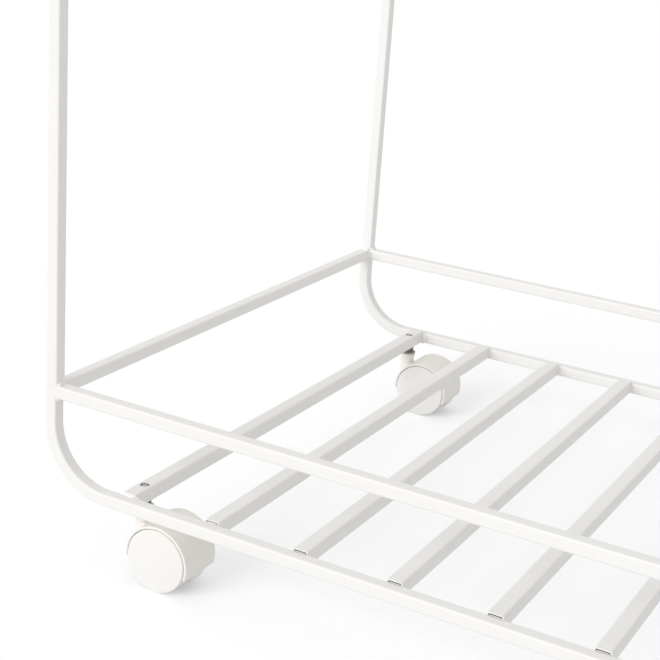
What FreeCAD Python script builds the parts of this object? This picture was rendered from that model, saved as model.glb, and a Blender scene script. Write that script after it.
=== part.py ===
import FreeCAD, Part
import math
import os

# A slatted cart on four twin-wheel casters, drawn in millimetres.
# +X runs to the right, +Y to the back and +Z up.
# The origin is on the floor, under the middle of the frame.

Vector = FreeCAD.Vector
X_AXIS = Vector(1, 0, 0)
Y_AXIS = Vector(0, 1, 0)
Z_AXIS = Vector(0, 0, 1)

# Overall sizes
WIDTH = 800.0
DEPTH = 500.0
HEIGHT = 750.0

# Square steel tube
TUBE = 10.0
TUBE_WALL = 1.0
TUBE_EDGE_RADIUS = 1.5
TUBE_BORE_EDGE_RADIUS = 0.6

# Hoops: one tube bent into a wide U, with both legs cut off level with the ring of rails
HOOP_HEIGHT = 84.0
BEND_INNER_RADIUS = 45.0

# Slats: a stouter tube, level with the hoops below and standing proud of them above
SLAT_SIZE = 12.0
SLAT_COUNT = 10
FIRST_SLAT_INSET = 65.5

# Posts and the plugs inside their joints
POST_INSET = 1.0
PLUG_LENGTH = 50.0
PLUG_CLEARANCE = 0.1

# Half-round tabs welded beside the slats that carry the casters
TAB_RADIUS = 5.5
TAB_THICKNESS = 1.2

# Caster wheels
WHEEL_DIAMETER = 50.0
WHEEL_WIDTH = 12.5
WHEEL_DOME = 1.6
WHEEL_SHOULDER = 2.0
WHEEL_CHAMFER = 0.8
WHEEL_SIDE_GAP = 0.75
HUB_BORE_DEPTH = 10.0

# Caster hood
HOOD_BODY_WIDTH = 13.0
HOOD_WHEEL_GAP = 0.9
HOOD_SKIN = 1.7
HOOD_RIM_SETBACK = 0.6
HOOD_START_DEGREES = -18.0
HOOD_END_DEGREES = 186.0
HOOD_BODY_BOTTOM = 10.0
HOOD_EDGE_ROUND = 0.7
NECK_TOP_DIAMETER = 14.0
NECK_TAPER_HEIGHT = 9.0
HOUSING_DIAMETER = 12.6

# Caster stem, nut and axle
CASTER_TRAIL = 25.0
NECK_RISE = 1.7
STEM_SETBACK = 29.0
STEM_THREAD_DIAMETER = 6.0
STEM_PIN_DIAMETER = 8.0
STEM_PIN_LENGTH = 24.0
STEM_FLANGE_DIAMETER = 15.0
STEM_FLANGE_THICKNESS = 1.5
STEM_TIP_DEPTH = 0.6
STEM_TIP_CHAMFER = 0.6
STEM_HOLE_CLEARANCE = 0.6
NUT_ACROSS_FLATS = 10.0
NUT_THICKNESS = 5.0
AXLE_DIAMETER = 6.0
RUNNING_CLEARANCE = 0.05
SEAT_CLEARANCE = 0.02
END_CLEARANCE = 0.3
FLANGE_CLEARANCE = 0.2

# Levels and places that follow from the sizes above
WHEEL_RADIUS = WHEEL_DIAMETER / 2
AXLE_Z = WHEEL_RADIUS
HOOD_INNER_RADIUS = WHEEL_RADIUS + HOOD_WHEEL_GAP
HOOD_OUTER_RADIUS = HOOD_INNER_RADIUS + HOOD_SKIN
WHEEL_INNER_Y = HOOD_BODY_WIDTH / 2 + WHEEL_SIDE_GAP
HOOD_HALF_WIDTH = WHEEL_INNER_Y + WHEEL_WIDTH - HOOD_RIM_SETBACK
NECK_TOP = AXLE_Z + HOOD_OUTER_RADIUS + NECK_RISE
FLANGE_BOTTOM = NECK_TOP + FLANGE_CLEARANCE
FLANGE_TOP = FLANGE_BOTTOM + STEM_FLANGE_THICKNESS
CASTER_HEIGHT = FLANGE_TOP + NUT_THICKNESS
PIN_BOTTOM = FLANGE_BOTTOM - STEM_PIN_LENGTH
SLAT_TOP = CASTER_HEIGHT + SLAT_SIZE
BASE_HOOP_BOTTOM = CASTER_HEIGHT
BASE_RING_TOP = BASE_HOOP_BOTTOM + HOOP_HEIGHT
TOP_HOOP_TOP = HEIGHT - SLAT_SIZE + TUBE
TOP_RING_BOTTOM = TOP_HOOP_TOP - HOOP_HEIGHT
SLAT_PITCH = (WIDTH - 2 * FIRST_SLAT_INSET - SLAT_SIZE) / (SLAT_COUNT - 1)
SLAT_LENGTH = DEPTH - 2 * TUBE
STEM_X = WIDTH / 2 - FIRST_SLAT_INSET - SLAT_SIZE / 2
STEM_Y = DEPTH / 2 - STEM_SETBACK

nodes = {}


# ---------------------------------------------------------------- square tube

def rounded_square_face(size, edge_radius):
    """A square with rounded corners, flat in XY round the origin."""
    half = size / 2
    flat = half - edge_radius
    outline = []
    for quarter in range(4):
        turn = math.radians(90 * quarter)
        middle = math.radians(90 * quarter + 45)
        following = math.radians(90 * quarter + 90)
        corner = Vector(
            flat * math.sqrt(2) * math.cos(middle),
            flat * math.sqrt(2) * math.sin(middle),
            0,
        )
        start = corner + Vector(math.cos(turn), math.sin(turn), 0) * edge_radius
        along = corner + Vector(math.cos(middle), math.sin(middle), 0) * edge_radius
        end = corner + Vector(math.cos(following), math.sin(following), 0) * edge_radius
        run = Vector(-math.sin(following), math.cos(following), 0) * (2 * flat)
        outline.append(Part.Arc(start, along, end).toShape())
        outline.append(Part.makeLine(end, end + run))
    return Part.Face(Part.Wire(outline))


def square_bar(size, edge_radius, length, axis):
    """A solid bar along an axis, with its middle at the origin."""
    bar = rounded_square_face(size, edge_radius).extrude(Z_AXIS * length)
    bar.translate(Z_AXIS * (-length / 2))
    bar.Placement = FreeCAD.Placement(Vector(), FreeCAD.Rotation(Z_AXIS, axis)).multiply(bar.Placement)
    return bar


def straight_tube(size, length, axis, centre):
    """An open-ended square tube along an axis."""
    tube = square_bar(size, TUBE_EDGE_RADIUS, length, axis)
    bore = square_bar(size - 2 * TUBE_WALL, TUBE_BORE_EDGE_RADIUS, length + size, axis)
    tube = tube.cut(bore)
    tube.translate(centre)
    return tube


# ---------------------------------------------------------------- bent hoops

def hoop_bar(size, edge_radius, extra_leg):
    """A solid U along the tube's centre line, with the lowest outside face of the tube at z = 0."""
    half_span = (WIDTH - TUBE) / 2
    bend_radius = BEND_INNER_RADIUS + TUBE / 2
    bend_z = TUBE / 2 + bend_radius
    leg_length = HOOP_HEIGHT - bend_z + extra_leg
    section = rounded_square_face(size, edge_radius)
    section.translate(Vector(-half_span, 0, bend_z))
    leg = section.extrude(Z_AXIS * leg_length)
    bend = section.revolve(Vector(-half_span + bend_radius, 0, bend_z), -Y_AXIS, 90)
    base = square_bar(size, edge_radius, 2 * (half_span - bend_radius), X_AXIS)
    base.translate(Z_AXIS * (TUBE / 2))
    far_leg = leg.mirror(Vector(), X_AXIS)
    far_bend = bend.mirror(Vector(), X_AXIS)
    return leg.multiFuse([bend, base, far_bend, far_leg]).removeSplitter()


def hoop(y):
    """The bent tube, standing on the plane z = 0."""
    outside = hoop_bar(TUBE, TUBE_EDGE_RADIUS, 0)
    inside = hoop_bar(TUBE - 2 * TUBE_WALL, TUBE_BORE_EDGE_RADIUS, TUBE)
    tube = outside.cut(inside)
    tube.translate(Y_AXIS * y)
    return tube


def add_hoops():
    """Two hoops open upwards at the base, and two turned over at the top."""
    for side, sign in (("front", -1), ("back", 1)):
        y = sign * (DEPTH - TUBE) / 2
        base = hoop(y)
        base.translate(Z_AXIS * BASE_HOOP_BOTTOM)
        top = hoop(y).mirror(Vector(), Z_AXIS)
        top.translate(Z_AXIS * TOP_HOOP_TOP)
        nodes[side + "_base_tube"] = base
        nodes[side + "_top_tube"] = top


# ---------------------------------------------------------------- rings of rails

def add_ring(level, centre_z):
    """Four rails that butt the legs of the hoops, flush with their outer faces."""
    for side, sign in (("front", -1), ("back", 1)):
        centre = Vector(0, sign * (DEPTH - TUBE) / 2, centre_z)
        nodes[side + "_" + level + "_rail"] = straight_tube(TUBE, WIDTH - 2 * TUBE, X_AXIS, centre)
    for side, sign in (("left", -1), ("right", 1)):
        centre = Vector(sign * (WIDTH - TUBE) / 2, 0, centre_z)
        nodes[side + "_" + level + "_rail"] = straight_tube(TUBE, DEPTH - 2 * TUBE, Y_AXIS, centre)


# ---------------------------------------------------------------- slats and tabs

def slat_x(number):
    return -WIDTH / 2 + FIRST_SLAT_INSET + SLAT_SIZE / 2 + number * SLAT_PITCH


def add_slats():
    """Base and top slats, welded between the hoops and standing a little proud of them."""
    hole_radius = STEM_THREAD_DIAMETER / 2 + STEM_HOLE_CLEARANCE
    for number in range(SLAT_COUNT):
        x = slat_x(number)
        name = "slat_%02d" % (number + 1)
        base = straight_tube(SLAT_SIZE, SLAT_LENGTH, Y_AXIS, Vector(x, 0, SLAT_TOP - SLAT_SIZE / 2))
        top = straight_tube(SLAT_SIZE, SLAT_LENGTH, Y_AXIS, Vector(x, 0, HEIGHT - SLAT_SIZE / 2))
        if number in (0, SLAT_COUNT - 1):
            for sign in (-1, 1):
                foot = Vector(x, sign * STEM_Y, CASTER_HEIGHT - SLAT_SIZE)
                hole = Part.makeCylinder(hole_radius, 3 * SLAT_SIZE, foot, Z_AXIS)
                base = base.cut(hole)
        nodes["base_" + name] = base
        nodes["top_" + name] = top


def add_tabs():
    """A half-round tab in each corner between a caster's slat and the inner face of the rail."""
    tabs = []
    rail_middle = BASE_HOOP_BOTTOM + TUBE / 2
    for side in (-1, 1):
        slat_face = side * (STEM_X - SLAT_SIZE / 2)
        for end in (-1, 1):
            rail_face = end * (DEPTH / 2 - TUBE)
            centre = Vector(slat_face, rail_face, rail_middle)
            tab = Part.makeCylinder(TAB_RADIUS, TAB_THICKNESS, centre, Y_AXIS * -end)
            keep = Part.makeBox(2 * TAB_RADIUS, 4 * TAB_RADIUS, 4 * TAB_RADIUS)
            keep.translate(centre - Vector((1 + side) * TAB_RADIUS, 2 * TAB_RADIUS, 2 * TAB_RADIUS))
            tabs.append(tab.common(keep))
    nodes["corner_tabs"] = Part.makeCompound(tabs)


# ---------------------------------------------------------------- posts and plugs

def add_posts():
    """Upright tubes between the two rings, set in a little from the outer faces of the hoops."""
    length = TOP_RING_BOTTOM - BASE_RING_TOP
    middle = (TOP_RING_BOTTOM + BASE_RING_TOP) / 2
    post_x = WIDTH / 2 - POST_INSET - TUBE / 2
    post_y = (DEPTH - TUBE) / 2
    for end, y_sign in (("front", -1), ("back", 1)):
        for side, x_sign in (("left", -1), ("right", 1)):
            centre = Vector(x_sign * post_x, y_sign * post_y, middle)
            nodes[end + "_" + side + "_post"] = straight_tube(TUBE, length, Z_AXIS, centre)


def add_plugs():
    """A steel plug inside each joint, held half in the post and half in the leg of the hoop."""
    bore = TUBE - 2 * TUBE_WALL
    wide = bore - 2 * PLUG_CLEARANCE
    narrow = wide - POST_INSET
    plug_x = (WIDTH - TUBE - POST_INSET) / 2
    plug_y = (DEPTH - TUBE) / 2
    plugs = []
    for x_sign in (-1, 1):
        for y_sign in (-1, 1):
            for joint_z in (BASE_RING_TOP, TOP_RING_BOTTOM):
                plug = Part.makeBox(narrow, wide, PLUG_LENGTH)
                long_edges = [edge for edge in plug.Edges if edge.Length > bore]
                plug = plug.makeFillet(TUBE_BORE_EDGE_RADIUS, long_edges)
                plug.translate(Vector(-narrow, -wide, -PLUG_LENGTH) / 2)
                plug.translate(Vector(x_sign * plug_x, y_sign * plug_y, joint_z))
                plugs.append(plug)
    nodes["post_plugs"] = Part.makeCompound(plugs)


# ---------------------------------------------------------------- casters
# Each piece is drawn for a caster whose stem stands on the origin and whose wheels trail to +X.

def turned(outline):
    """A solid turned round Z from an outline of edges that starts and ends on the axis."""
    return Part.Face(Part.Wire(outline)).revolve(Vector(), Z_AXIS, 360)


def lines(points):
    return [Part.makeLine(a, b) for a, b in zip(points, points[1:])]


def caster_stem():
    """A threaded stud, a flange that takes the load and a plain pin that the hood turns on."""
    thread = STEM_THREAD_DIAMETER / 2
    pin = STEM_PIN_DIAMETER / 2
    flange = STEM_FLANGE_DIAMETER / 2
    tip = SLAT_TOP - STEM_TIP_DEPTH
    return turned(lines([
        Vector(0, 0, PIN_BOTTOM),
        Vector(pin - STEM_TIP_CHAMFER, 0, PIN_BOTTOM),
        Vector(pin, 0, PIN_BOTTOM + STEM_TIP_CHAMFER),
        Vector(pin, 0, FLANGE_BOTTOM),
        Vector(flange, 0, FLANGE_BOTTOM),
        Vector(flange, 0, FLANGE_TOP),
        Vector(thread, 0, FLANGE_TOP),
        Vector(thread, 0, tip - STEM_TIP_CHAMFER),
        Vector(thread - STEM_TIP_CHAMFER, 0, tip),
        Vector(0, 0, tip),
        Vector(0, 0, PIN_BOTTOM),
    ]))


def stem_nut():
    """A hexagon nut between the flange and the slat, with its corners turned off."""
    corner = NUT_ACROSS_FLATS / math.sqrt(3)
    points = []
    for side in range(7):
        angle = math.radians(60 * side)
        points.append(Vector(corner * math.cos(angle), corner * math.sin(angle), FLANGE_TOP))
    nut = Part.Face(Part.makePolygon(points)).extrude(Z_AXIS * NUT_THICKNESS)
    slope = corner - NUT_ACROSS_FLATS / 2
    height = NUT_THICKNESS + slope
    rim = Part.makeCone(corner + NUT_THICKNESS, corner - slope, height, Vector(0, 0, FLANGE_TOP))
    bore = STEM_THREAD_DIAMETER / 2 + SEAT_CLEARANCE
    nut = nut.common(rim)
    return nut.cut(Part.makeCylinder(bore, CASTER_HEIGHT, Vector()))


def hood_shell():
    """The curved skin over both wheels, open below from the start angle to the end angle."""
    width = 2 * HOOD_HALF_WIDTH
    foot = Vector(CASTER_TRAIL, -HOOD_HALF_WIDTH, AXLE_Z)
    shell = Part.makeCylinder(HOOD_OUTER_RADIUS, width, foot, Y_AXIS)
    rims = [edge for edge in shell.Edges if edge.Closed and len(edge.Vertexes) == 1]
    shell = shell.makeFillet(HOOD_EDGE_ROUND, rims)
    shell = shell.cut(Part.makeCylinder(HOOD_INNER_RADIUS, width, foot, Y_AXIS))
    reach = 2 * HOOD_OUTER_RADIUS
    middle_degrees = (HOOD_START_DEGREES + HOOD_END_DEGREES) / 2 + 180
    axle = Vector(CASTER_TRAIL, 0, AXLE_Z)
    mouth = [axle]
    for degrees in (HOOD_END_DEGREES, middle_degrees, HOOD_START_DEGREES + 360):
        angle = math.radians(degrees)
        mouth.append(axle + Vector(math.cos(angle), 0, math.sin(angle)) * reach)
    mouth.append(axle)
    opening = Part.Face(Part.makePolygon(mouth)).extrude(Y_AXIS * (2 * width))
    opening.translate(Y_AXIS * -width)
    return shell.cut(opening)


def caster_hood():
    """One moulding: the skin, the web between the wheels and the socket that turns on the stem."""
    half_body = HOOD_BODY_WIDTH / 2
    web = Part.makeCylinder(
        HOOD_OUTER_RADIUS,
        HOOD_BODY_WIDTH,
        Vector(CASTER_TRAIL, -half_body, AXLE_Z),
        Y_AXIS,
    )
    below = Part.makeBox(4 * WHEEL_DIAMETER, WHEEL_DIAMETER, WHEEL_DIAMETER)
    below.translate(Vector(-WHEEL_DIAMETER, -WHEEL_RADIUS, HOOD_BODY_BOTTOM - WHEEL_DIAMETER))
    web = web.cut(below)
    housing_height = NECK_TOP - HOOD_BODY_BOTTOM - NECK_TAPER_HEIGHT
    housing = Part.makeCylinder(HOUSING_DIAMETER / 2, housing_height, Vector(0, 0, HOOD_BODY_BOTTOM))
    neck = Part.makeCone(
        HOUSING_DIAMETER / 2,
        NECK_TOP_DIAMETER / 2,
        NECK_TAPER_HEIGHT,
        Vector(0, 0, NECK_TOP - NECK_TAPER_HEIGHT),
    )
    bridge = Part.makeBox(CASTER_TRAIL, HOUSING_DIAMETER, NECK_TOP - NECK_TAPER_HEIGHT - AXLE_Z)
    bridge.translate(Vector(0, -HOUSING_DIAMETER / 2, AXLE_Z))
    hood = web.multiFuse([housing, neck, bridge, hood_shell()]).removeSplitter()
    socket_bottom = PIN_BOTTOM - END_CLEARANCE
    socket_radius = STEM_PIN_DIAMETER / 2 + RUNNING_CLEARANCE
    socket = Part.makeCylinder(socket_radius, NECK_TOP, Vector(0, 0, socket_bottom))
    axle_bore = Part.makeCylinder(
        AXLE_DIAMETER / 2 + SEAT_CLEARANCE,
        2 * HOOD_BODY_WIDTH,
        Vector(CASTER_TRAIL, -HOOD_BODY_WIDTH, AXLE_Z),
        Y_AXIS,
    )
    return hood.cut(socket).cut(axle_bore)


def caster_axle():
    """A steel pin through the web, ending inside the blind hubs of the wheels."""
    half_length = WHEEL_INNER_Y + HUB_BORE_DEPTH - END_CLEARANCE
    return Part.makeCylinder(
        AXLE_DIAMETER / 2,
        2 * half_length,
        Vector(CASTER_TRAIL, -half_length, AXLE_Z),
        Y_AXIS,
    )


def caster_wheel(side):
    """A moulded wheel with a domed outer face, on the side -1 or +1 of the web."""
    bore = AXLE_DIAMETER / 2 + RUNNING_CLEARANCE
    face_radius = WHEEL_RADIUS - WHEEL_SHOULDER
    sphere = (face_radius ** 2 + WHEEL_DOME ** 2) / (2 * WHEEL_DOME)
    halfway = face_radius / 2
    halfway_rise = WHEEL_DOME - sphere + math.sqrt(sphere ** 2 - halfway ** 2)
    shoulder_z = WHEEL_WIDTH - WHEEL_SHOULDER
    bulge = WHEEL_SHOULDER / math.sqrt(2)
    rim_start = Vector(WHEEL_RADIUS, 0, shoulder_z)
    rim_middle = Vector(face_radius + bulge, 0, shoulder_z + bulge)
    rim_end = Vector(face_radius, 0, WHEEL_WIDTH)
    dome_middle = Vector(halfway, 0, WHEEL_WIDTH + halfway_rise)
    dome_top = Vector(0, 0, WHEEL_WIDTH + WHEEL_DOME)
    outline = lines([
        Vector(0, 0, HUB_BORE_DEPTH),
        Vector(bore, 0, HUB_BORE_DEPTH),
        Vector(bore, 0, 0),
        Vector(WHEEL_RADIUS - WHEEL_CHAMFER, 0, 0),
        Vector(WHEEL_RADIUS, 0, WHEEL_CHAMFER),
        rim_start,
    ])
    outline.append(Part.Arc(rim_start, rim_middle, rim_end).toShape())
    outline.append(Part.Arc(rim_end, dome_middle, dome_top).toShape())
    outline.append(Part.makeLine(dome_top, Vector(0, 0, HUB_BORE_DEPTH)))
    wheel = turned(outline)
    wheel.rotate(Vector(), X_AXIS, -90 * side)
    wheel.translate(Vector(CASTER_TRAIL, side * WHEEL_INNER_Y, AXLE_Z))
    return wheel


def add_casters():
    """A caster under each end of the first and last slats, all trailing the same way."""
    nuts = []
    for end, y_sign in (("front", -1), ("back", 1)):
        for side, x_sign in (("left", -1), ("right", 1)):
            name = end + "_" + side + "_"
            pieces = {
                name + "caster_stem": caster_stem(),
                name + "caster_hood": caster_hood(),
                name + "caster_axle": caster_axle(),
                name + "front_wheel": caster_wheel(-1),
                name + "back_wheel": caster_wheel(1),
            }
            nut = stem_nut()
            for piece in [*pieces.values(), nut]:
                piece.translate(Vector(x_sign * STEM_X, y_sign * STEM_Y, 0))
            nodes.update(pieces)
            nuts.append(nut)
    nodes["stem_nuts"] = Part.makeCompound(nuts)


add_hoops()
add_ring("guard", BASE_RING_TOP - TUBE / 2)
add_ring("top", TOP_RING_BOTTOM + TUBE / 2)
add_slats()
add_tabs()
add_posts()
add_plugs()
add_casters()

os.makedirs("parts", exist_ok=True)
for name, shape in nodes.items():
    if not shape.isValid():
        raise ValueError(name + " isn't a valid shape")
    shape.exportStep("parts/" + name + ".step")
print(len(nodes), "nodes", sum(len(shape.Solids) for shape in nodes.values()), "solids")
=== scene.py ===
import math
import random

import bpy
from mathutils import Matrix, Vector


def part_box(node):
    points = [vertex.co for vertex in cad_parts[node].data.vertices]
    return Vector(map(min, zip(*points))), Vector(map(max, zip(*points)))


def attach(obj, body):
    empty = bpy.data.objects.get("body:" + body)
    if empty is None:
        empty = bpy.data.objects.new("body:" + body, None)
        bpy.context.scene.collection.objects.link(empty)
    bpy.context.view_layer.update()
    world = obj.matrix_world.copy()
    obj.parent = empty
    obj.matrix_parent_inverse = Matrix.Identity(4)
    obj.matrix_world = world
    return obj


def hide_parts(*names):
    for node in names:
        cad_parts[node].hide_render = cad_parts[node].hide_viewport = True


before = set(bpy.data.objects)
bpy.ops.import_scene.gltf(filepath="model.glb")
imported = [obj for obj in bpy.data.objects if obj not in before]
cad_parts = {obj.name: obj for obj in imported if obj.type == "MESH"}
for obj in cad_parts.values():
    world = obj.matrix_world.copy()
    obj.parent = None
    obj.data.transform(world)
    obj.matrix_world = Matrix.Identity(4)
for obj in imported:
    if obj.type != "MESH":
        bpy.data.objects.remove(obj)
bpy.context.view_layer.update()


# ---------------------------------------------------------------- camera
# The camera stands in front of the right half of the stand and looks down to the back left.
# Its place and its three angles come from the straight edges of the tubes.
# The lens is long, as for a product picture, and it isn't shifted.
CAMERA_SENSOR = 36.0
CAMERA_LENS = 78.95
CAMERA_PLACE = Vector((0.24768, -1.02411, 0.53835))
CAMERA_TURN = -0.49130
CAMERA_DIP = 0.32812
CAMERA_ROLL = 0.07216

scene = bpy.context.scene
camera_data = bpy.data.cameras.new("camera")
camera_data.sensor_width = CAMERA_SENSOR
camera_data.lens = CAMERA_LENS
camera = bpy.data.objects.new("camera", camera_data)
scene.collection.objects.link(camera)
scene.camera = camera
ahead = Vector((
    math.sin(CAMERA_TURN) * math.cos(CAMERA_DIP),
    math.cos(CAMERA_TURN) * math.cos(CAMERA_DIP),
    -math.sin(CAMERA_DIP),
))
level_right = Vector((math.cos(CAMERA_TURN), -math.sin(CAMERA_TURN), 0.0))
level_up = level_right.cross(ahead)
right = level_right * math.cos(CAMERA_ROLL) + level_up * math.sin(CAMERA_ROLL)
up = level_up * math.cos(CAMERA_ROLL) - level_right * math.sin(CAMERA_ROLL)
camera.matrix_world = Matrix.Translation(CAMERA_PLACE) @ Matrix((right, up, -ahead)).transposed().to_4x4()


# ---------------------------------------------------------------- floor and light
# A plain white floor, one broad low light from the front left and an even room light.
# The low light makes the front faces bright, the top faces softer and the right faces grey.
# What the camera sees of the room and the floor is lifted to white, and the floor keeps its shadow.
ROOM_LIGHT = (0.725, 0.713, 0.697, 1.0)
LAMP_STRENGTH = 1.33
LAMP_SPREAD = math.radians(38)
LAMP_RISE = math.radians(24)
LAMP_TURN = math.radians(-21)
FLOOR_SIZE = 60.0
FLOOR_COLOUR = (0.792, 0.80, 0.808, 1.0)
FLOOR_LIFT = 0.33
LIFT_COLOUR = (0.905, 0.92, 0.96, 1.0)
WHITE = (1.0, 1.0, 1.0, 1.0)


class Socket:
    """An output socket. A sum that is written on sockets adds the Math nodes that it needs."""

    def __init__(self, finish, link):
        self.finish = finish
        self.link = link

    def maths(self, operation, first, second=0.0):
        return self.finish.node("ShaderNodeMath", {"operation": operation}, {0: first, 1: second})

    def __add__(self, other):
        return self.maths("ADD", self, other)

    def __radd__(self, other):
        return self.maths("ADD", other, self)

    def __sub__(self, other):
        return self.maths("SUBTRACT", self, other)

    def __rsub__(self, other):
        return self.maths("SUBTRACT", other, self)

    def __mul__(self, other):
        return self.maths("MULTIPLY", self, other)

    def __rmul__(self, other):
        return self.maths("MULTIPLY", other, self)

    def __truediv__(self, other):
        return self.maths("DIVIDE", self, other)

    def __mod__(self, other):
        return self.maths("FLOORED_MODULO", self, other)

    def __abs__(self):
        return self.maths("ABSOLUTE", self)

    def __lt__(self, other):
        return self.maths("LESS_THAN", self, other)

    def __gt__(self, other):
        return self.maths("GREATER_THAN", self, other)

    def most(self, other):
        return self.maths("MAXIMUM", self, other)

    def least(self, other):
        return self.maths("MINIMUM", self, other)

    def other(self, name):
        """Another output of the same node."""
        return Socket(self.finish, self.link.node.outputs[name])


class Finish:
    """A node tree that is built one node at a time."""

    def __init__(self, tree):
        self.tree = tree
        tree.nodes.clear()

    def node(self, kind, settings=None, values=None, output=0):
        """Adds a node: its settings first, then the values or links of its sockets."""
        added = self.tree.nodes.new(kind)
        for name, value in (settings or {}).items():
            setattr(added, name, value)
        for name, value in (values or {}).items():
            if isinstance(value, Socket):
                self.tree.links.new(value.link, added.inputs[name])
            else:
                added.inputs[name].default_value = value
        return Socket(self, added.outputs[output]) if added.outputs else None

    def mix(self, share, first, second):
        """A colour between two colours."""
        # The Mix node has a set of sockets for each kind of value, and colours use these three.
        first_input = 6
        second_input = 7
        result = 2
        colours = {"Factor": share, first_input: first, second_input: second}
        return self.node("ShaderNodeMix", {"data_type": "RGBA"}, colours, result)

    def noise(self, place, size, detail=2.0):
        """Noise from 0 to 1 whose spots are about one size across, in metres."""
        values = {"Vector": place, "Scale": 1 / size, "Detail": detail}
        return self.node("ShaderNodeTexNoise", {}, values)


room = bpy.data.worlds.new("room")
scene.world = room
room.use_nodes = True
nodes = Finish(room.node_tree)
ray = nodes.node("ShaderNodeLightPath", {}, {}, "Is Camera Ray")
seen = ray.most(ray.other("Is Glossy Ray")).most(ray.other("Is Transmission Ray"))
lit = nodes.node("ShaderNodeBackground", {}, {"Color": ROOM_LIGHT, "Strength": 1.0})
white = nodes.node("ShaderNodeBackground", {}, {"Color": WHITE, "Strength": 1.0})
surroundings = nodes.node("ShaderNodeMixShader", {}, {0: seen, 1: lit, 2: white})
nodes.node("ShaderNodeOutputWorld", {}, {"Surface": surroundings})

lamp_data = bpy.data.lights.new("broad_lamp", "SUN")
lamp_data.energy = LAMP_STRENGTH
lamp_data.angle = LAMP_SPREAD
lamp = bpy.data.objects.new("broad_lamp", lamp_data)
scene.collection.objects.link(lamp)
towards_lamp = Vector((
    math.sin(LAMP_TURN) * math.cos(LAMP_RISE),
    -math.cos(LAMP_TURN) * math.cos(LAMP_RISE),
    math.sin(LAMP_RISE),
))
lamp.rotation_euler = towards_lamp.to_track_quat("Z", "Y").to_euler()

floor_paint = bpy.data.materials.new("white_floor")
floor_paint.use_nodes = True
nodes = Finish(floor_paint.node_tree)
ray = nodes.node("ShaderNodeLightPath", {}, {}, "Is Camera Ray")
seen = ray.most(ray.other("Is Glossy Ray")).most(ray.other("Is Transmission Ray"))
paper = nodes.node("ShaderNodeBsdfDiffuse", {}, {"Color": FLOOR_COLOUR})
lift = nodes.node("ShaderNodeEmission", {}, {"Color": LIFT_COLOUR, "Strength": FLOOR_LIFT})
lifted = nodes.node("ShaderNodeAddShader", {}, {0: paper, 1: lift})
surface = nodes.node("ShaderNodeMixShader", {}, {0: seen, 1: paper, 2: lifted})
nodes.node("ShaderNodeOutputMaterial", {}, {"Surface": surface})

bpy.ops.object.select_all(action="DESELECT")
bpy.ops.mesh.primitive_plane_add(size=FLOOR_SIZE, location=(0, 0, 0))
floor = bpy.context.object
floor.name = "floor"
floor.data.materials.append(floor_paint)

scene.view_settings.view_transform = "Standard"


# ---------------------------------------------------------------- base and top tubes
# Four square steel tubes, each bent into a wide U, two for the base and two for the top.
# They are welded into the frame, and the whole frame is powder coated in satin white.
# The baked coat has a faint orange peel, and it lies thicker in some places than in others.
COAT_COLOUR = (0.888, 0.884, 0.873, 1.0)
COAT_SHADE = (0.866, 0.859, 0.842, 1.0)
COAT_SPECK = (0.60, 0.57, 0.53, 1.0)
COAT_PATCH_SIZE = 0.055
COAT_PEEL_SIZE = 0.0011
COAT_RIPPLE_SIZE = 0.009
COAT_GRIT_SIZE = 0.0004
COAT_SPECK_LIMIT = 0.835
COAT_SPECK_SHARE = 0.5
COAT_ROUGHNESS = 0.36
COAT_PATCH_ROUGHNESS = 0.10
COAT_PEEL_ROUGHNESS = 0.06
COAT_RIPPLE_HEIGHT = 2.5
COAT_BUMP = 0.5
COAT_BUMP_DEPTH = 0.00006


def bumped(nodes, height, strength, depth):
    """A surface that rises and falls by up to a depth in metres."""
    values = {"Strength": strength, "Distance": depth, "Height": height}
    return nodes.node("ShaderNodeBump", {}, values)


def powder_coat(nodes, place):
    """The colour, roughness and surface of the white coat."""
    patch = nodes.noise(place, COAT_PATCH_SIZE, detail=4.0)
    peel = nodes.noise(place, COAT_PEEL_SIZE, detail=1.0)
    ripple = nodes.noise(place, COAT_RIPPLE_SIZE, detail=2.0)
    grit = nodes.noise(place, COAT_GRIT_SIZE, detail=0.0)
    cloudy = nodes.mix(patch, COAT_COLOUR, COAT_SHADE)
    speck = grit > COAT_SPECK_LIMIT
    colour = nodes.mix(speck * COAT_SPECK_SHARE, cloudy, COAT_SPECK)
    roughness = COAT_ROUGHNESS + patch * COAT_PATCH_ROUGHNESS + peel * COAT_PEEL_ROUGHNESS
    height = peel + ripple * COAT_RIPPLE_HEIGHT
    return colour, roughness, bumped(nodes, height, COAT_BUMP, COAT_BUMP_DEPTH)


def new_finish(name):
    """An empty material and the nodes that it is built from."""
    material = bpy.data.materials.new(name)
    material.use_nodes = True
    return material, Finish(material.node_tree)


def close_finish(nodes, colour, roughness, normal, **constants):
    """Puts the surface together. The constants are sockets that are the same all over."""
    values = {"Base Color": colour, "Roughness": roughness, "Normal": normal, **constants}
    surface = nodes.node("ShaderNodeBsdfPrincipled", {}, values)
    nodes.node("ShaderNodeOutputMaterial", {}, {"Surface": surface})


def dress(names, material):
    """Gives each CAD node its finish."""
    for name in names:
        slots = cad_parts[name].data.materials
        slots.clear()
        slots.append(material)


coat, nodes = new_finish("white_powder_coat")
place = nodes.node("ShaderNodeTexCoord", {}, {}, "Object")
colour, roughness, normal = powder_coat(nodes, place)
close_finish(nodes, colour, roughness, normal)
dress([end + level for end in ("front", "back") for level in ("_base_tube", "_top_tube")], coat)


# ---------------------------------------------------------------- guard and top rails
# Straight lengths of the same tube, cut to butt the legs of the bent tubes.
# Their outer faces lie flush with the legs, where the welds are ground smooth before coating.
for level in ("_guard_rail", "_top_rail"):
    dress([side + level for side in ("front", "back", "left", "right")], coat)


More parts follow.
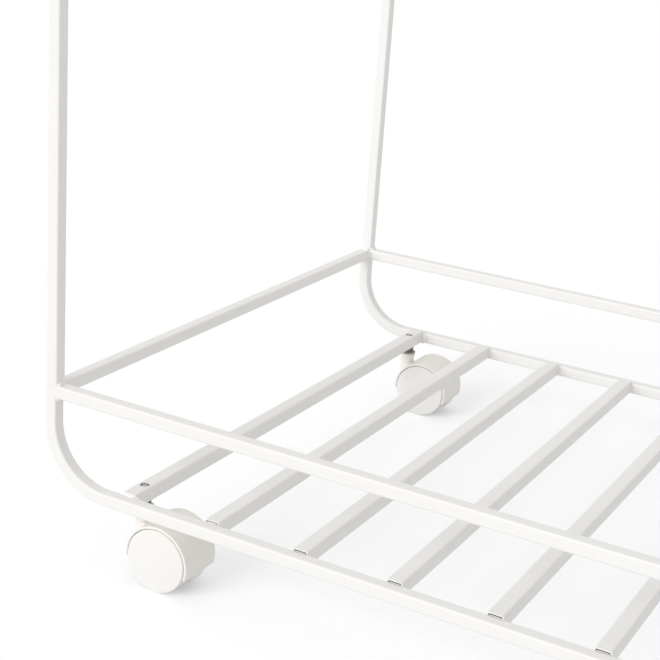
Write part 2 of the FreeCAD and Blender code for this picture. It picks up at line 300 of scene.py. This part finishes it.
# ---------------------------------------------------------------- slats
# Ten square tubes make the lower shelf and ten more the upper one, welded in from front to back.
# Their ends are open, and the powder reaches only a few millimetres into each bore.
# Deeper in, the colour ramps to bare steel painted very dark. This is partly the steel and partly painted
# shade for the darkness inside the bore.
MM = 0.001
SLAT_COUNT = 10
SLAT_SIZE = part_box("base_slat_01")[1].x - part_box("base_slat_01")[0].x
WALL = 1 * MM
BORE_LIMIT = 0.8 * WALL
# The bore colour is bare steel painted darker than it is, as painted shade inside the tube.
BARE_STEEL_AND_BORE_SHADE = (0.085, 0.075, 0.066, 1.0)
POWDER_AND_SHADE_REACH = 5 * MM


def slat_coat(name, first_slat, second_slat):
    """The white coat, with bare steel and painted shade deep in the bores of one shelf's slats."""
    low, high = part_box(first_slat)
    middle = (low + high) / 2
    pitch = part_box(second_slat)[0].x - low.x
    material, nodes = new_finish(name)
    place = nodes.node("ShaderNodeTexCoord", {}, {}, "Object")
    colour, roughness, normal = powder_coat(nodes, place)
    across = nodes.node("ShaderNodeSeparateXYZ", {}, {"Vector": place}, "X")
    off_x = abs((across - (middle.x - pitch / 2)) % pitch - pitch / 2)
    off_z = abs(across.other("Z") - middle.z)
    in_bore = off_x.most(off_z) < SLAT_SIZE / 2 - BORE_LIMIT
    depth = high.y - abs(across.other("Y"))
    # Painted shade: the colour darkens over the first few millimetres into each bore, from the coat to the
    # dark bore colour.
    bare_steel_and_shade = (in_bore * (depth / POWDER_AND_SHADE_REACH)).least(1.0)
    colour = nodes.mix(bare_steel_and_shade, colour, BARE_STEEL_AND_BORE_SHADE)
    close_finish(nodes, colour, roughness, normal)
    return material


base_slats = ["base_slat_%02d" % number for number in range(1, SLAT_COUNT + 1)]
top_slats = ["top_slat_%02d" % number for number in range(1, SLAT_COUNT + 1)]
dress(base_slats, slat_coat("base_slat_coat", *base_slats[:2]))
dress(top_slats, slat_coat("top_slat_coat", *top_slats[:2]))


# ---------------------------------------------------------------- corner tabs
# Four half-round plates of sheet steel, tacked beside the slats that carry the casters.
# They are coated with the frame.
dress(["corner_tabs"], coat)


# ---------------------------------------------------------------- posts
# Four upright lengths of the same tube that stand on the lower ring of rails and carry the upper one.
# They are welded at both ends and coated with the frame.
CORNERS = [(end, side) for end in ("front", "back") for side in ("left", "right")]
dress([end + "_" + side + "_post" for end, side in CORNERS], coat)


# ---------------------------------------------------------------- welds at the corners
# The rails are welded to the legs and posts with short fillet beads, and filled flush outside.
# A sloped fill dresses the step where each post stands a little inside its leg.
# All of it lies under the white coat, which softens the ripples of the beads.
SIGN = {"left": -1, "right": 1, "front": -1, "back": 1}
ALONG_X = 0
ALONG_Y = 1
ALONG_Z = 2
NEARLY_ALONG = 0.9
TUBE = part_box("front_guard_rail")[1].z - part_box("front_guard_rail")[0].z
BEAD_LEG = 2.6 * MM
BEAD_BACK = 1.0 * MM
BEAD_SINK = 0.4 * MM
BEAD_LENGTH = 8.6 * MM
BEAD_RINGS = 13
BEAD_POINTS = 24
BEAD_VARIANTS = 3
BEAD_END = 0.62
BEAD_FULLNESS = 4
BEAD_UNEVEN = 0.02
RIPPLE = 0.05
EDGE_RADIUS = 1.5 * MM
EDGE_SEGMENTS = 5
FILL_SKIN = 0.02 * MM
STEP_HEIGHT = 4 * MM
SMOOTH_ANGLE = math.radians(40)
chance = random.Random(8)


def select_only(piece):
    """Leaves one piece selected and active."""
    bpy.ops.object.select_all(action="DESELECT")
    bpy.context.view_layer.objects.active = piece
    piece.select_set(True)


def grow(steps, vertices, middle=(0.0, 0.0)):
    """A solid grown upwards from a disc, ring after ring. Each step is a radius and a height."""
    first_radius, first_height = steps[0]
    bpy.ops.object.select_all(action="DESELECT")
    bpy.ops.mesh.primitive_circle_add(
        vertices=vertices, radius=first_radius, fill_type="NGON", location=(*middle, first_height)
    )
    bpy.ops.object.transform_apply(location=True)
    bpy.ops.object.mode_set(mode="EDIT")
    for (last_radius, last_height), (radius, height) in zip(steps, steps[1:]):
        bpy.ops.mesh.extrude_region_move(TRANSFORM_OT_translate={"value": (0, 0, height - last_height)})
        size = radius / last_radius
        bpy.ops.transform.resize(value=(size, size, 1), center_override=(*middle, height))
    bpy.ops.mesh.select_all(action="SELECT")
    bpy.ops.mesh.normals_make_consistent(inside=False)
    bpy.ops.object.mode_set(mode="OBJECT")
    return bpy.context.object


def cut_beyond(piece, point, outward):
    """Cuts off what lies beyond a plane and closes the cut."""
    select_only(piece)
    bpy.ops.object.mode_set(mode="EDIT")
    bpy.ops.mesh.select_all(action="SELECT")
    bpy.ops.mesh.bisect(plane_co=point, plane_no=outward, use_fill=True, clear_outer=True)
    bpy.ops.object.mode_set(mode="OBJECT")


def block(low, high, edge_axis=None, edge_radius=0.0):
    """A block between two corners, with its edges along one axis rounded."""
    low, high = Vector(low), Vector(high)
    bpy.ops.object.select_all(action="DESELECT")
    bpy.ops.mesh.primitive_cube_add(size=1, location=(low + high) / 2, scale=high - low)
    bpy.ops.object.transform_apply(location=True, scale=True)
    piece = bpy.context.object
    if edge_axis is not None:
        bpy.ops.object.mode_set(mode="EDIT")
        bpy.ops.mesh.select_mode(type="EDGE")
        bpy.ops.mesh.select_all(action="DESELECT")
        bpy.ops.object.mode_set(mode="OBJECT")
        for edge in piece.data.edges:
            start, end = (piece.data.vertices[index].co for index in edge.vertices)
            edge.select = abs((end - start).normalized()[edge_axis]) > NEARLY_ALONG
        bpy.ops.object.mode_set(mode="EDIT")
        bpy.ops.mesh.bevel(offset=edge_radius, segments=EDGE_SEGMENTS, affect="EDGES")
        bpy.ops.mesh.select_mode(type="VERT")
        bpy.ops.object.mode_set(mode="OBJECT")
    return piece


def copy_of(piece, matrix):
    """A copy with a mesh of its own, put in its place by a matrix."""
    copy = piece.copy()
    copy.data = piece.data.copy()
    copy.data.transform(matrix)
    scene.collection.objects.link(copy)
    return copy


def joined(pieces, name):
    """Several meshes as one piece."""
    bpy.ops.object.select_all(action="DESELECT")
    for piece in pieces:
        piece.select_set(True)
    bpy.context.view_layer.objects.active = pieces[0]
    bpy.ops.object.join()
    pieces[0].name = name
    pieces[0].data.name = name
    return pieces[0]


def finished(piece, material, body):
    """Smooths a piece, gives it its finish and lets it ride on its body."""
    select_only(piece)
    bpy.ops.object.shade_smooth_by_angle(angle=SMOOTH_ANGLE)
    piece.data.materials.clear()
    piece.data.materials.append(material)
    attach(piece, body)
    return piece


def fillet_bead(length, leg):
    """A rippled bead along Z, in the corner between a face towards +X and a face towards +Y."""
    # Its axis lies a little behind both faces, and its arc meets each face one leg from the corner.
    # It is cut off a little behind each face, so it stays sunk into both tubes.
    radius = math.hypot(leg + BEAD_BACK, BEAD_BACK)
    steps = []
    for ring in range(BEAD_RINGS + 1):
        share = ring / BEAD_RINGS
        rounding = (1 - abs(2 * share - 1) ** BEAD_FULLNESS) ** 0.5
        ripple = 1 + RIPPLE * (ring % 2 - 0.5) + chance.uniform(-BEAD_UNEVEN, BEAD_UNEVEN)
        ring_radius = radius * (BEAD_END + (1 - BEAD_END) * rounding) * ripple
        steps.append((ring_radius, (share - 0.5) * length))
    bead = grow(steps, BEAD_POINTS, (-BEAD_BACK, -BEAD_BACK))
    cut_beyond(bead, (-BEAD_SINK, 0, 0), (-1, 0, 0))
    cut_beyond(bead, (0, -BEAD_SINK, 0), (0, -1, 0))
    return bead


def in_corner(bead, point, first_normal, second_normal):
    """A copy of a bead in the corner at a point between two faces with these outward normals."""
    first, second = Vector(first_normal), Vector(second_normal)
    turn = Matrix((first, second, first.cross(second))).transposed().to_4x4()
    return copy_of(bead, Matrix.Translation(point) @ turn)


corner_beads = [fillet_bead(BEAD_LENGTH, BEAD_LEG) for variant in range(BEAD_VARIANTS)]
for level, towards_post in (("guard", 1), ("top", -1)):
    for end, side in CORNERS:
        x_sign, y_sign = SIGN[side], SIGN[end]
        rail_low, rail_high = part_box(end + "_" + level + "_rail")
        post_low, post_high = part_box(end + "_" + side + "_post")
        across_low, across_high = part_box(side + "_" + level + "_rail")
        leg_x = rail_high.x if x_sign > 0 else rail_low.x
        leg_y = across_high.y if y_sign > 0 else across_low.y
        outer_x = across_high.x if x_sign > 0 else across_low.x
        outer_y = rail_high.y if y_sign > 0 else rail_low.y
        post_x = post_low.x if x_sign > 0 else post_high.x
        post_outer_x = post_high.x if x_sign > 0 else post_low.x
        post_z = rail_high.z if towards_post > 0 else rail_low.z
        leg_z = rail_low.z if towards_post > 0 else rail_high.z
        middle_x = (leg_x + outer_x) / 2
        middle_y = (leg_y + outer_y) / 2
        inward_x = (-x_sign, 0, 0)
        inward_y = (0, -y_sign, 0)
        to_post = (0, 0, towards_post)
        to_leg = (0, 0, -towards_post)
        welds = [
            in_corner(chance.choice(corner_beads), (post_x, middle_y, post_z), inward_x, to_post),
            in_corner(chance.choice(corner_beads), (middle_x, leg_y, post_z), inward_y, to_post),
            in_corner(chance.choice(corner_beads), (leg_x, middle_y, leg_z), inward_x, to_leg),
            in_corner(chance.choice(corner_beads), (middle_x, leg_y, leg_z), inward_y, to_leg),
            in_corner(chance.choice(corner_beads), (leg_x, leg_y, (post_z + leg_z) / 2), inward_x, inward_y),
        ]
        fill_x = sorted((leg_x, leg_x + x_sign * EDGE_RADIUS))
        fill_low = (fill_x[0], rail_low.y, rail_low.z)
        fill_high = (fill_x[1], rail_high.y, rail_high.z)
        fill = block(fill_low, fill_high, ALONG_X, EDGE_RADIUS)
        cut_beyond(fill, (0, outer_y - y_sign * EDGE_RADIUS, 0), inward_y)
        welds.append(fill)
        fill_y = sorted((leg_y, leg_y + y_sign * EDGE_RADIUS))
        fill_low = (across_low.x, fill_y[0], rail_low.z)
        fill_high = (across_high.x, fill_y[1], rail_high.z)
        fill = block(fill_low, fill_high, ALONG_Y, EDGE_RADIUS)
        cut_beyond(fill, (outer_x - x_sign * EDGE_RADIUS, 0, 0), inward_x)
        welds.append(fill)
        step_x = sorted((outer_x, outer_x - x_sign * TUBE))
        step_y = sorted((outer_y, leg_y))
        step_z = sorted((post_z, post_z + towards_post * STEP_HEIGHT))
        step_low = (step_x[0], step_y[0] + FILL_SKIN, step_z[0])
        step_high = (step_x[1], step_y[1] - FILL_SKIN, step_z[1])
        step = block(step_low, step_high, ALONG_Z, EDGE_RADIUS)
        for vertex in step.data.vertices:
            if abs(vertex.co.z - post_z) > STEP_HEIGHT / 2:
                vertex.co.x += post_outer_x - outer_x
        cut_beyond(step, (outer_x - x_sign * 2 * EDGE_RADIUS, 0, 0), inward_x)
        welds.append(step)
        finished(joined(welds, "weld_" + end + "_" + side + "_" + level), coat, "frame")
for bead in corner_beads:
    bpy.data.objects.remove(bead)


# ---------------------------------------------------------------- welds at the slats
# A short upright bead joins each side of a slat's end to the inner face of the bent tube.
# A low bead runs along the foot of each open end, and it stands higher on the second slat.
# The first and last slats carry the casters, so their open ends are welded over.
SLAT_BEAD_LEG = 1.7 * MM
SLAT_BEAD_LENGTH = 7.6 * MM
END_BEAD_LENGTH = 10.6 * MM
CLOSING_BEAD_SHARE = 0.8
CLOSING_BEAD_LEG = (SLAT_SIZE - TUBE) * CLOSING_BEAD_SHARE
HIGH_SILL_BEAD_LEG = 0.1 * MM
# The low sill's leg is less than nothing, so only its crown shows, just inside the open end.
SILL_BEAD_LEG = -0.22 * MM

slat_beads = [fillet_bead(SLAT_BEAD_LENGTH, SLAT_BEAD_LEG) for variant in range(BEAD_VARIANTS)]
closing_bead = fillet_bead(END_BEAD_LENGTH, CLOSING_BEAD_LEG)
sill_bead = fillet_bead(END_BEAD_LENGTH, SILL_BEAD_LEG)
high_sill_bead = fillet_bead(END_BEAD_LENGTH, HIGH_SILL_BEAD_LEG)
for level, slats in (("base", base_slats), ("top", top_slats)):
    for end in ("front", "back"):
        y_sign = SIGN[end]
        tube_low, tube_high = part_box(end + "_" + level + "_tube")
        face_y = tube_high.y if y_sign < 0 else tube_low.y
        rail_z = tube_low.z + TUBE if level == "base" else tube_high.z
        welds = []
        for slat in slats:
            slat_low, slat_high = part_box(slat)
            bead_z = rail_z - TUBE / 2
            for slat_x, sign in ((slat_low.x, -1), (slat_high.x, 1)):
                point = (slat_x, face_y, bead_z)
                bead = chance.choice(slat_beads)
                welds.append(in_corner(bead, point, (sign, 0, 0), (0, -y_sign, 0)))
            end_bead = sill_bead
            if slat in (slats[0], slats[-1]):
                end_bead = closing_bead
            elif slat == slats[1]:
                end_bead = high_sill_bead
            slat_end_y = slat_low.y if y_sign < 0 else slat_high.y
            point = ((slat_low.x + slat_high.x) / 2, slat_end_y, rail_z)
            welds.append(in_corner(end_bead, point, (0, y_sign, 0), (0, 0, 1)))
        finished(joined(welds, "slat_welds_" + end + "_" + level), coat, "frame")
for bead in [*slat_beads, closing_bead, sill_bead, high_sill_bead]:
    bpy.data.objects.remove(bead)


# ---------------------------------------------------------------- plugs
# A drawn steel plug sits in each joint between a post and a leg, and keeps the two in line.
# All eight are hidden inside the tubes.
STEEL_COLOUR = (0.56, 0.55, 0.53, 1.0)
STEEL_DULL = (0.38, 0.37, 0.355, 1.0)
STEEL_STRETCH = (1.0, 0.05, 1.0)
STEEL_SCRATCH_SIZE = 0.0003
STEEL_TARNISH_SIZE = 0.004
STEEL_ROUGHNESS = 0.22
STEEL_SCRATCH_ROUGHNESS = 0.2
STEEL_BUMP = 0.4
STEEL_BUMP_DEPTH = 0.00002

steel, nodes = new_finish("bright_drawn_steel")
place = nodes.node("ShaderNodeTexCoord", {}, {}, "Object")
drawn = nodes.node("ShaderNodeMapping", {}, {"Vector": place, "Scale": STEEL_STRETCH})
scratch = nodes.noise(drawn, STEEL_SCRATCH_SIZE, detail=2.0)
tarnish = nodes.noise(place, STEEL_TARNISH_SIZE, detail=3.0)
colour = nodes.mix(tarnish, STEEL_COLOUR, STEEL_DULL)
roughness = STEEL_ROUGHNESS + scratch * STEEL_SCRATCH_ROUGHNESS
normal = bumped(nodes, scratch, STEEL_BUMP, STEEL_BUMP_DEPTH)
close_finish(nodes, colour, roughness, normal, Metallic=1.0)
dress(["post_plugs"], steel)


# ---------------------------------------------------------------- caster stems and nuts
# Each stem is a turned steel stud with a flange, and a hexagon nut clamps it under the slat.
# Both are zinc plated. The nut's plating is passivated dark, and the stem's stays lighter.
ZINC_BLOOM_SIZE = 0.0022
ZINC_BUMP = 0.5
ZINC_BUMP_DEPTH = 0.00003
NUT_COLOUR = (0.115, 0.105, 0.095, 1.0)
NUT_LIGHT = (0.30, 0.28, 0.25, 1.0)
NUT_BLOOM_GAIN = 1.4
NUT_GRAIN_SIZE = 0.00035
NUT_ROUGHNESS = 0.34
NUT_BLOOM_ROUGHNESS = 0.22
NUT_METAL = 0.85
STEM_COLOUR = (0.42, 0.40, 0.37, 1.0)
STEM_LIGHT = (0.52, 0.49, 0.455, 1.0)
STEM_STRETCH = (0.1, 0.1, 1.0)
STEM_GROOVE_SIZE = 0.00025
STEM_ROUGHNESS = 0.32
STEM_BLOOM_ROUGHNESS = 0.2
STEM_METAL = 0.5

zinc, nodes = new_finish("dark_zinc")
place = nodes.node("ShaderNodeTexCoord", {}, {}, "Object")
bloom = nodes.noise(place, ZINC_BLOOM_SIZE, detail=4.0)
grain = nodes.noise(place, NUT_GRAIN_SIZE, detail=2.0)
colour = nodes.mix(bloom * bloom * NUT_BLOOM_GAIN, NUT_COLOUR, NUT_LIGHT)
roughness = NUT_ROUGHNESS + bloom * NUT_BLOOM_ROUGHNESS
normal = bumped(nodes, grain, ZINC_BUMP, ZINC_BUMP_DEPTH)
close_finish(nodes, colour, roughness, normal, Metallic=NUT_METAL)
dress(["stem_nuts"], zinc)

stem_zinc, nodes = new_finish("turned_zinc")
place = nodes.node("ShaderNodeTexCoord", {}, {}, "Object")
bloom = nodes.noise(place, ZINC_BLOOM_SIZE, detail=4.0)
turned = nodes.node("ShaderNodeMapping", {}, {"Vector": place, "Scale": STEM_STRETCH})
groove = nodes.noise(turned, STEM_GROOVE_SIZE, detail=2.0)
colour = nodes.mix(bloom, STEM_COLOUR, STEM_LIGHT)
roughness = STEM_ROUGHNESS + bloom * STEM_BLOOM_ROUGHNESS
normal = bumped(nodes, groove, ZINC_BUMP, ZINC_BUMP_DEPTH)
close_finish(nodes, colour, roughness, normal, Metallic=STEM_METAL)
dress([end + "_" + side + "_caster_stem" for end, side in CORNERS], stem_zinc)


# ---------------------------------------------------------------- caster hoods
# One white nylon moulding covers both wheels and turns on the stem.
# A rounded lip stiffens each of its two mouths and comes close to the wheel.
PLASTIC_COLOUR = (0.928, 0.906, 0.868, 1.0)
PLASTIC_SHADE = (0.90, 0.878, 0.835, 1.0)
NYLON_FLOW_SIZE = 0.018
NYLON_GRAIN_SIZE = 0.0006
NYLON_SINK_SIZE = 0.012
NYLON_GRAIN_HEIGHT = 0.35
NYLON_SINK_HEIGHT = 2.0
NYLON_ROUGHNESS = 0.33
NYLON_FLOW_ROUGHNESS = 0.08
NYLON_GRAIN_ROUGHNESS = 0.06
NYLON_BUMP = 0.4
NYLON_BUMP_DEPTH = 0.00005
LIP_START = math.radians(-17)
LIP_TURN = math.radians(202)
LIP_STEPS = 96
LIP_POINTS = 16
LIP_DEPTH = 1.1 * MM
LIP_WIDTH = 1.6 * MM
LIP_PROUD = 0.3 * MM


def nylon(name, first, second):
    """A moulded nylon with flow clouds, a fine grain and slow sink marks."""
    material, nodes = new_finish(name)
    place = nodes.node("ShaderNodeTexCoord", {}, {}, "Object")
    flow = nodes.noise(place, NYLON_FLOW_SIZE, detail=3.0)
    grain = nodes.noise(place, NYLON_GRAIN_SIZE, detail=2.0)
    sink = nodes.noise(place, NYLON_SINK_SIZE, detail=1.0)
    colour = nodes.mix(flow, first, second)
    roughness = NYLON_ROUGHNESS + flow * NYLON_FLOW_ROUGHNESS + grain * NYLON_GRAIN_ROUGHNESS
    height = grain * NYLON_GRAIN_HEIGHT + sink * NYLON_SINK_HEIGHT
    close_finish(nodes, colour, roughness, bumped(nodes, height, NYLON_BUMP, NYLON_BUMP_DEPTH))
    return material


plastic = nylon("cream_nylon", PLASTIC_COLOUR, PLASTIC_SHADE)
dress([end + "_" + side + "_caster_hood" for end, side in CORNERS], plastic)


def hood_lip(outer_radius):
    """A rounded lip round a mouth, about the Y axis at the origin."""
    bpy.ops.object.select_all(action="DESELECT")
    middle = outer_radius - LIP_DEPTH
    place = (middle * math.cos(LIP_START), 0, middle * math.sin(LIP_START))
    bpy.ops.mesh.primitive_circle_add(vertices=LIP_POINTS, radius=LIP_DEPTH, location=place)
    bpy.ops.object.transform_apply(location=True)
    lip = bpy.context.object
    along = Vector((math.cos(LIP_START), 0, math.sin(LIP_START)))
    for vertex in lip.data.vertices:
        off = vertex.co - Vector(place)
        vertex.co = Vector(place) + along * off.x + Vector((0, off.y * LIP_WIDTH / LIP_DEPTH / 2, 0))
    bpy.ops.object.mode_set(mode="EDIT")
    bpy.ops.mesh.select_all(action="SELECT")
    bpy.ops.mesh.spin(steps=LIP_STEPS, angle=LIP_TURN, center=(0, 0, 0), axis=(0, 1, 0))
    bpy.ops.mesh.select_all(action="SELECT")
    bpy.ops.mesh.fill_holes(sides=0)
    bpy.ops.mesh.normals_make_consistent(inside=False)
    bpy.ops.object.mode_set(mode="OBJECT")
    return lip


hood_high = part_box("front_left_caster_hood")[1]
wheel_low, wheel_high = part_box("front_left_front_wheel")
lip = hood_lip(hood_high.x - (wheel_low.x + wheel_high.x) / 2)
for end, side in CORNERS:
    corner = end + "_" + side
    hood_low, hood_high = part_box(corner + "_caster_hood")
    wheel_low, wheel_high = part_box(corner + "_front_wheel")
    middle = (wheel_low + wheel_high) / 2
    lips = []
    for mouth_y, outward in ((hood_low.y, -1), (hood_high.y, 1)):
        lip_y = mouth_y - outward * (LIP_WIDTH / 2 - LIP_PROUD)
        lips.append(copy_of(lip, Matrix.Translation((middle.x, lip_y, middle.z))))
    finished(joined(lips, corner + "_hood_lips"), plastic, corner + "_swivel")
bpy.data.objects.remove(lip)


# ---------------------------------------------------------------- axles
# A bright steel pin is pressed through the web of each hood.
# The two wheels of the caster turn on its ends.
dress([end + "_" + side + "_caster_axle" for end, side in CORNERS], steel)


# ---------------------------------------------------------------- wheels
# Two nylon wheels run on each axle, with plain domed outer faces and a fine mould line on the tread.
# Their hidden inner sides are hollow, with a hub and ribs.
WHEEL_COLOUR = (0.885, 0.878, 0.858, 1.0)
WHEEL_SHADE = (0.868, 0.856, 0.828, 1.0)
WHEEL_POINTS = 128
SHOULDER = 1.1 * MM
SHOULDER_STEPS = 5
DOME_STEPS = 10
DOME_RISE = 1.6 * MM
DOME_CENTRE = 0.6 * MM
BORE_CLEARANCE = 0.15 * MM
HUB_RADIUS = 5 * MM
HUB_HEIGHT = 0.4 * MM
RECESS_RADIUS = 20.5 * MM
RECESS_DEPTH = 6 * MM
RECESS_DRAFT = 0.4 * MM
RECESS_CHAMFER = 0.5 * MM
MOULD_LINE_DEPTH = 0.12 * MM
MOULD_LINE_REACH = 0.3 * MM
RIBS = 8
RIB_WIDTH = 1.2 * MM
RIB_OVERLAP = 0.2 * MM
RIB_SETBACK = RECESS_DEPTH / 3


def caster_wheel(radius, height, bore_radius, bore_depth):
    """A wheel that stands on its inner side, with its axis along Z and a blind bore."""
    rim = height - DOME_RISE
    steps = [
        (bore_radius, bore_depth),
        (bore_radius, HUB_HEIGHT),
        (HUB_RADIUS, HUB_HEIGHT),
        (HUB_RADIUS, RECESS_DEPTH),
        (RECESS_RADIUS, RECESS_DEPTH),
        (RECESS_RADIUS + RECESS_DRAFT, RECESS_CHAMFER),
        (RECESS_RADIUS + RECESS_DRAFT + RECESS_CHAMFER, 0),
    ]
    for step in range(SHOULDER_STEPS + 1):
        turn = math.pi / 2 * step / SHOULDER_STEPS
        steps.append((radius - SHOULDER * (1 - math.sin(turn)), SHOULDER * (1 - math.cos(turn))))
    for offset, drop in ((-MOULD_LINE_REACH, 0), (0, MOULD_LINE_DEPTH), (MOULD_LINE_REACH, 0)):
        steps.append((radius - drop, rim / 2 + offset))
    for step in range(SHOULDER_STEPS + 1):
        turn = math.pi / 2 * step / SHOULDER_STEPS
        steps.append((radius - SHOULDER * (1 - math.cos(turn)), rim - SHOULDER * (1 - math.sin(turn))))
    face = radius - SHOULDER
    for step in range(1, DOME_STEPS + 1):
        share = 1 - step / DOME_STEPS
        steps.append((max(face * share, DOME_CENTRE), rim + DOME_RISE * (1 - share ** 2)))
    wheel = grow(steps, WHEEL_POINTS)
    pieces = [wheel]
    rib = block(
        (HUB_RADIUS - RIB_OVERLAP, -RIB_WIDTH / 2, RIB_SETBACK),
        (RECESS_RADIUS + RIB_OVERLAP, RIB_WIDTH / 2, RECESS_DEPTH + RIB_OVERLAP),
    )
    for number in range(RIBS):
        pieces.append(copy_of(rib, Matrix.Rotation(math.tau * number / RIBS, 4, "Z")))
    bpy.data.objects.remove(rib)
    return joined(pieces, "wheel_pattern")


wheel_nylon = nylon("wheel_nylon", WHEEL_COLOUR, WHEEL_SHADE)
wheel_low, wheel_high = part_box("front_left_front_wheel")
axle_low, axle_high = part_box("front_left_caster_axle")
wheel_pattern = caster_wheel(
    (wheel_high.z - wheel_low.z) / 2,
    wheel_high.y - wheel_low.y,
    (axle_high.z - axle_low.z) / 2 + BORE_CLEARANCE,
    wheel_high.y - axle_low.y + BORE_CLEARANCE,
)
for end, side in CORNERS:
    for wheel_end in ("front", "back"):
        corner = end + "_" + side
        node = corner + "_" + wheel_end + "_wheel"
        wheel_low, wheel_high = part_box(node)
        middle = (wheel_low + wheel_high) / 2
        outward = SIGN[wheel_end]
        inner_y = wheel_high.y if outward < 0 else wheel_low.y
        turn = Matrix(((1, 0, 0), (0, 0, outward), (0, -outward, 0))).to_4x4()
        wheel = copy_of(wheel_pattern, Matrix.Translation((middle.x, inner_y, middle.z)) @ turn)
        wheel.name = wheel.data.name = node + "_moulding"
        finished(wheel, wheel_nylon, corner + "_" + wheel_end + "_roller")
        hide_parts(node)
bpy.data.objects.remove(wheel_pattern)
